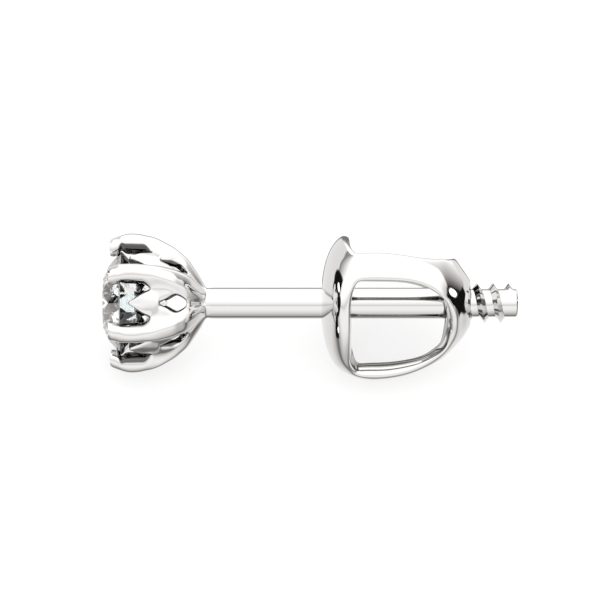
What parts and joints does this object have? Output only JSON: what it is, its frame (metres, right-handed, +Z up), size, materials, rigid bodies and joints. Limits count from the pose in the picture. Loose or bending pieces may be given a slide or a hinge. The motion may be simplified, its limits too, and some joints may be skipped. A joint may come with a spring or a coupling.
{
  "type": "stud earring with screw back",
  "caption": "Stud earring lying on its side: brilliant-cut stone in a lotus basket on a threaded post, with an egg-shaped openwork screw back.",
  "frame": {"origin": "middle of the underside of the box round the earring, on the surface it lies on", "axes": "+X along the post from the stone to the threaded end, +Z up from the surface, +Y across the post away from the picture's side"},
  "size_m": [0.0134, 0.0046, 0.0047],
  "materials": {
    "white_gold": "high polish white gold",
    "stone": "faceted, clear",
    "back_white_gold": "high polish white gold"
  },
  "bodies": {
    "stud": {"setting_and_post": "white_gold", "brilliant_stone": "stone"},
    "back": {"screw_back": "back_white_gold"}
  },
  "joints": [
    {"name": "back_travel", "type": "slide", "parent": "stud", "child": "back", "axis": [1, 0, -0.0021], "range_m": [-0.0003, 0.0066]}
  ]
}
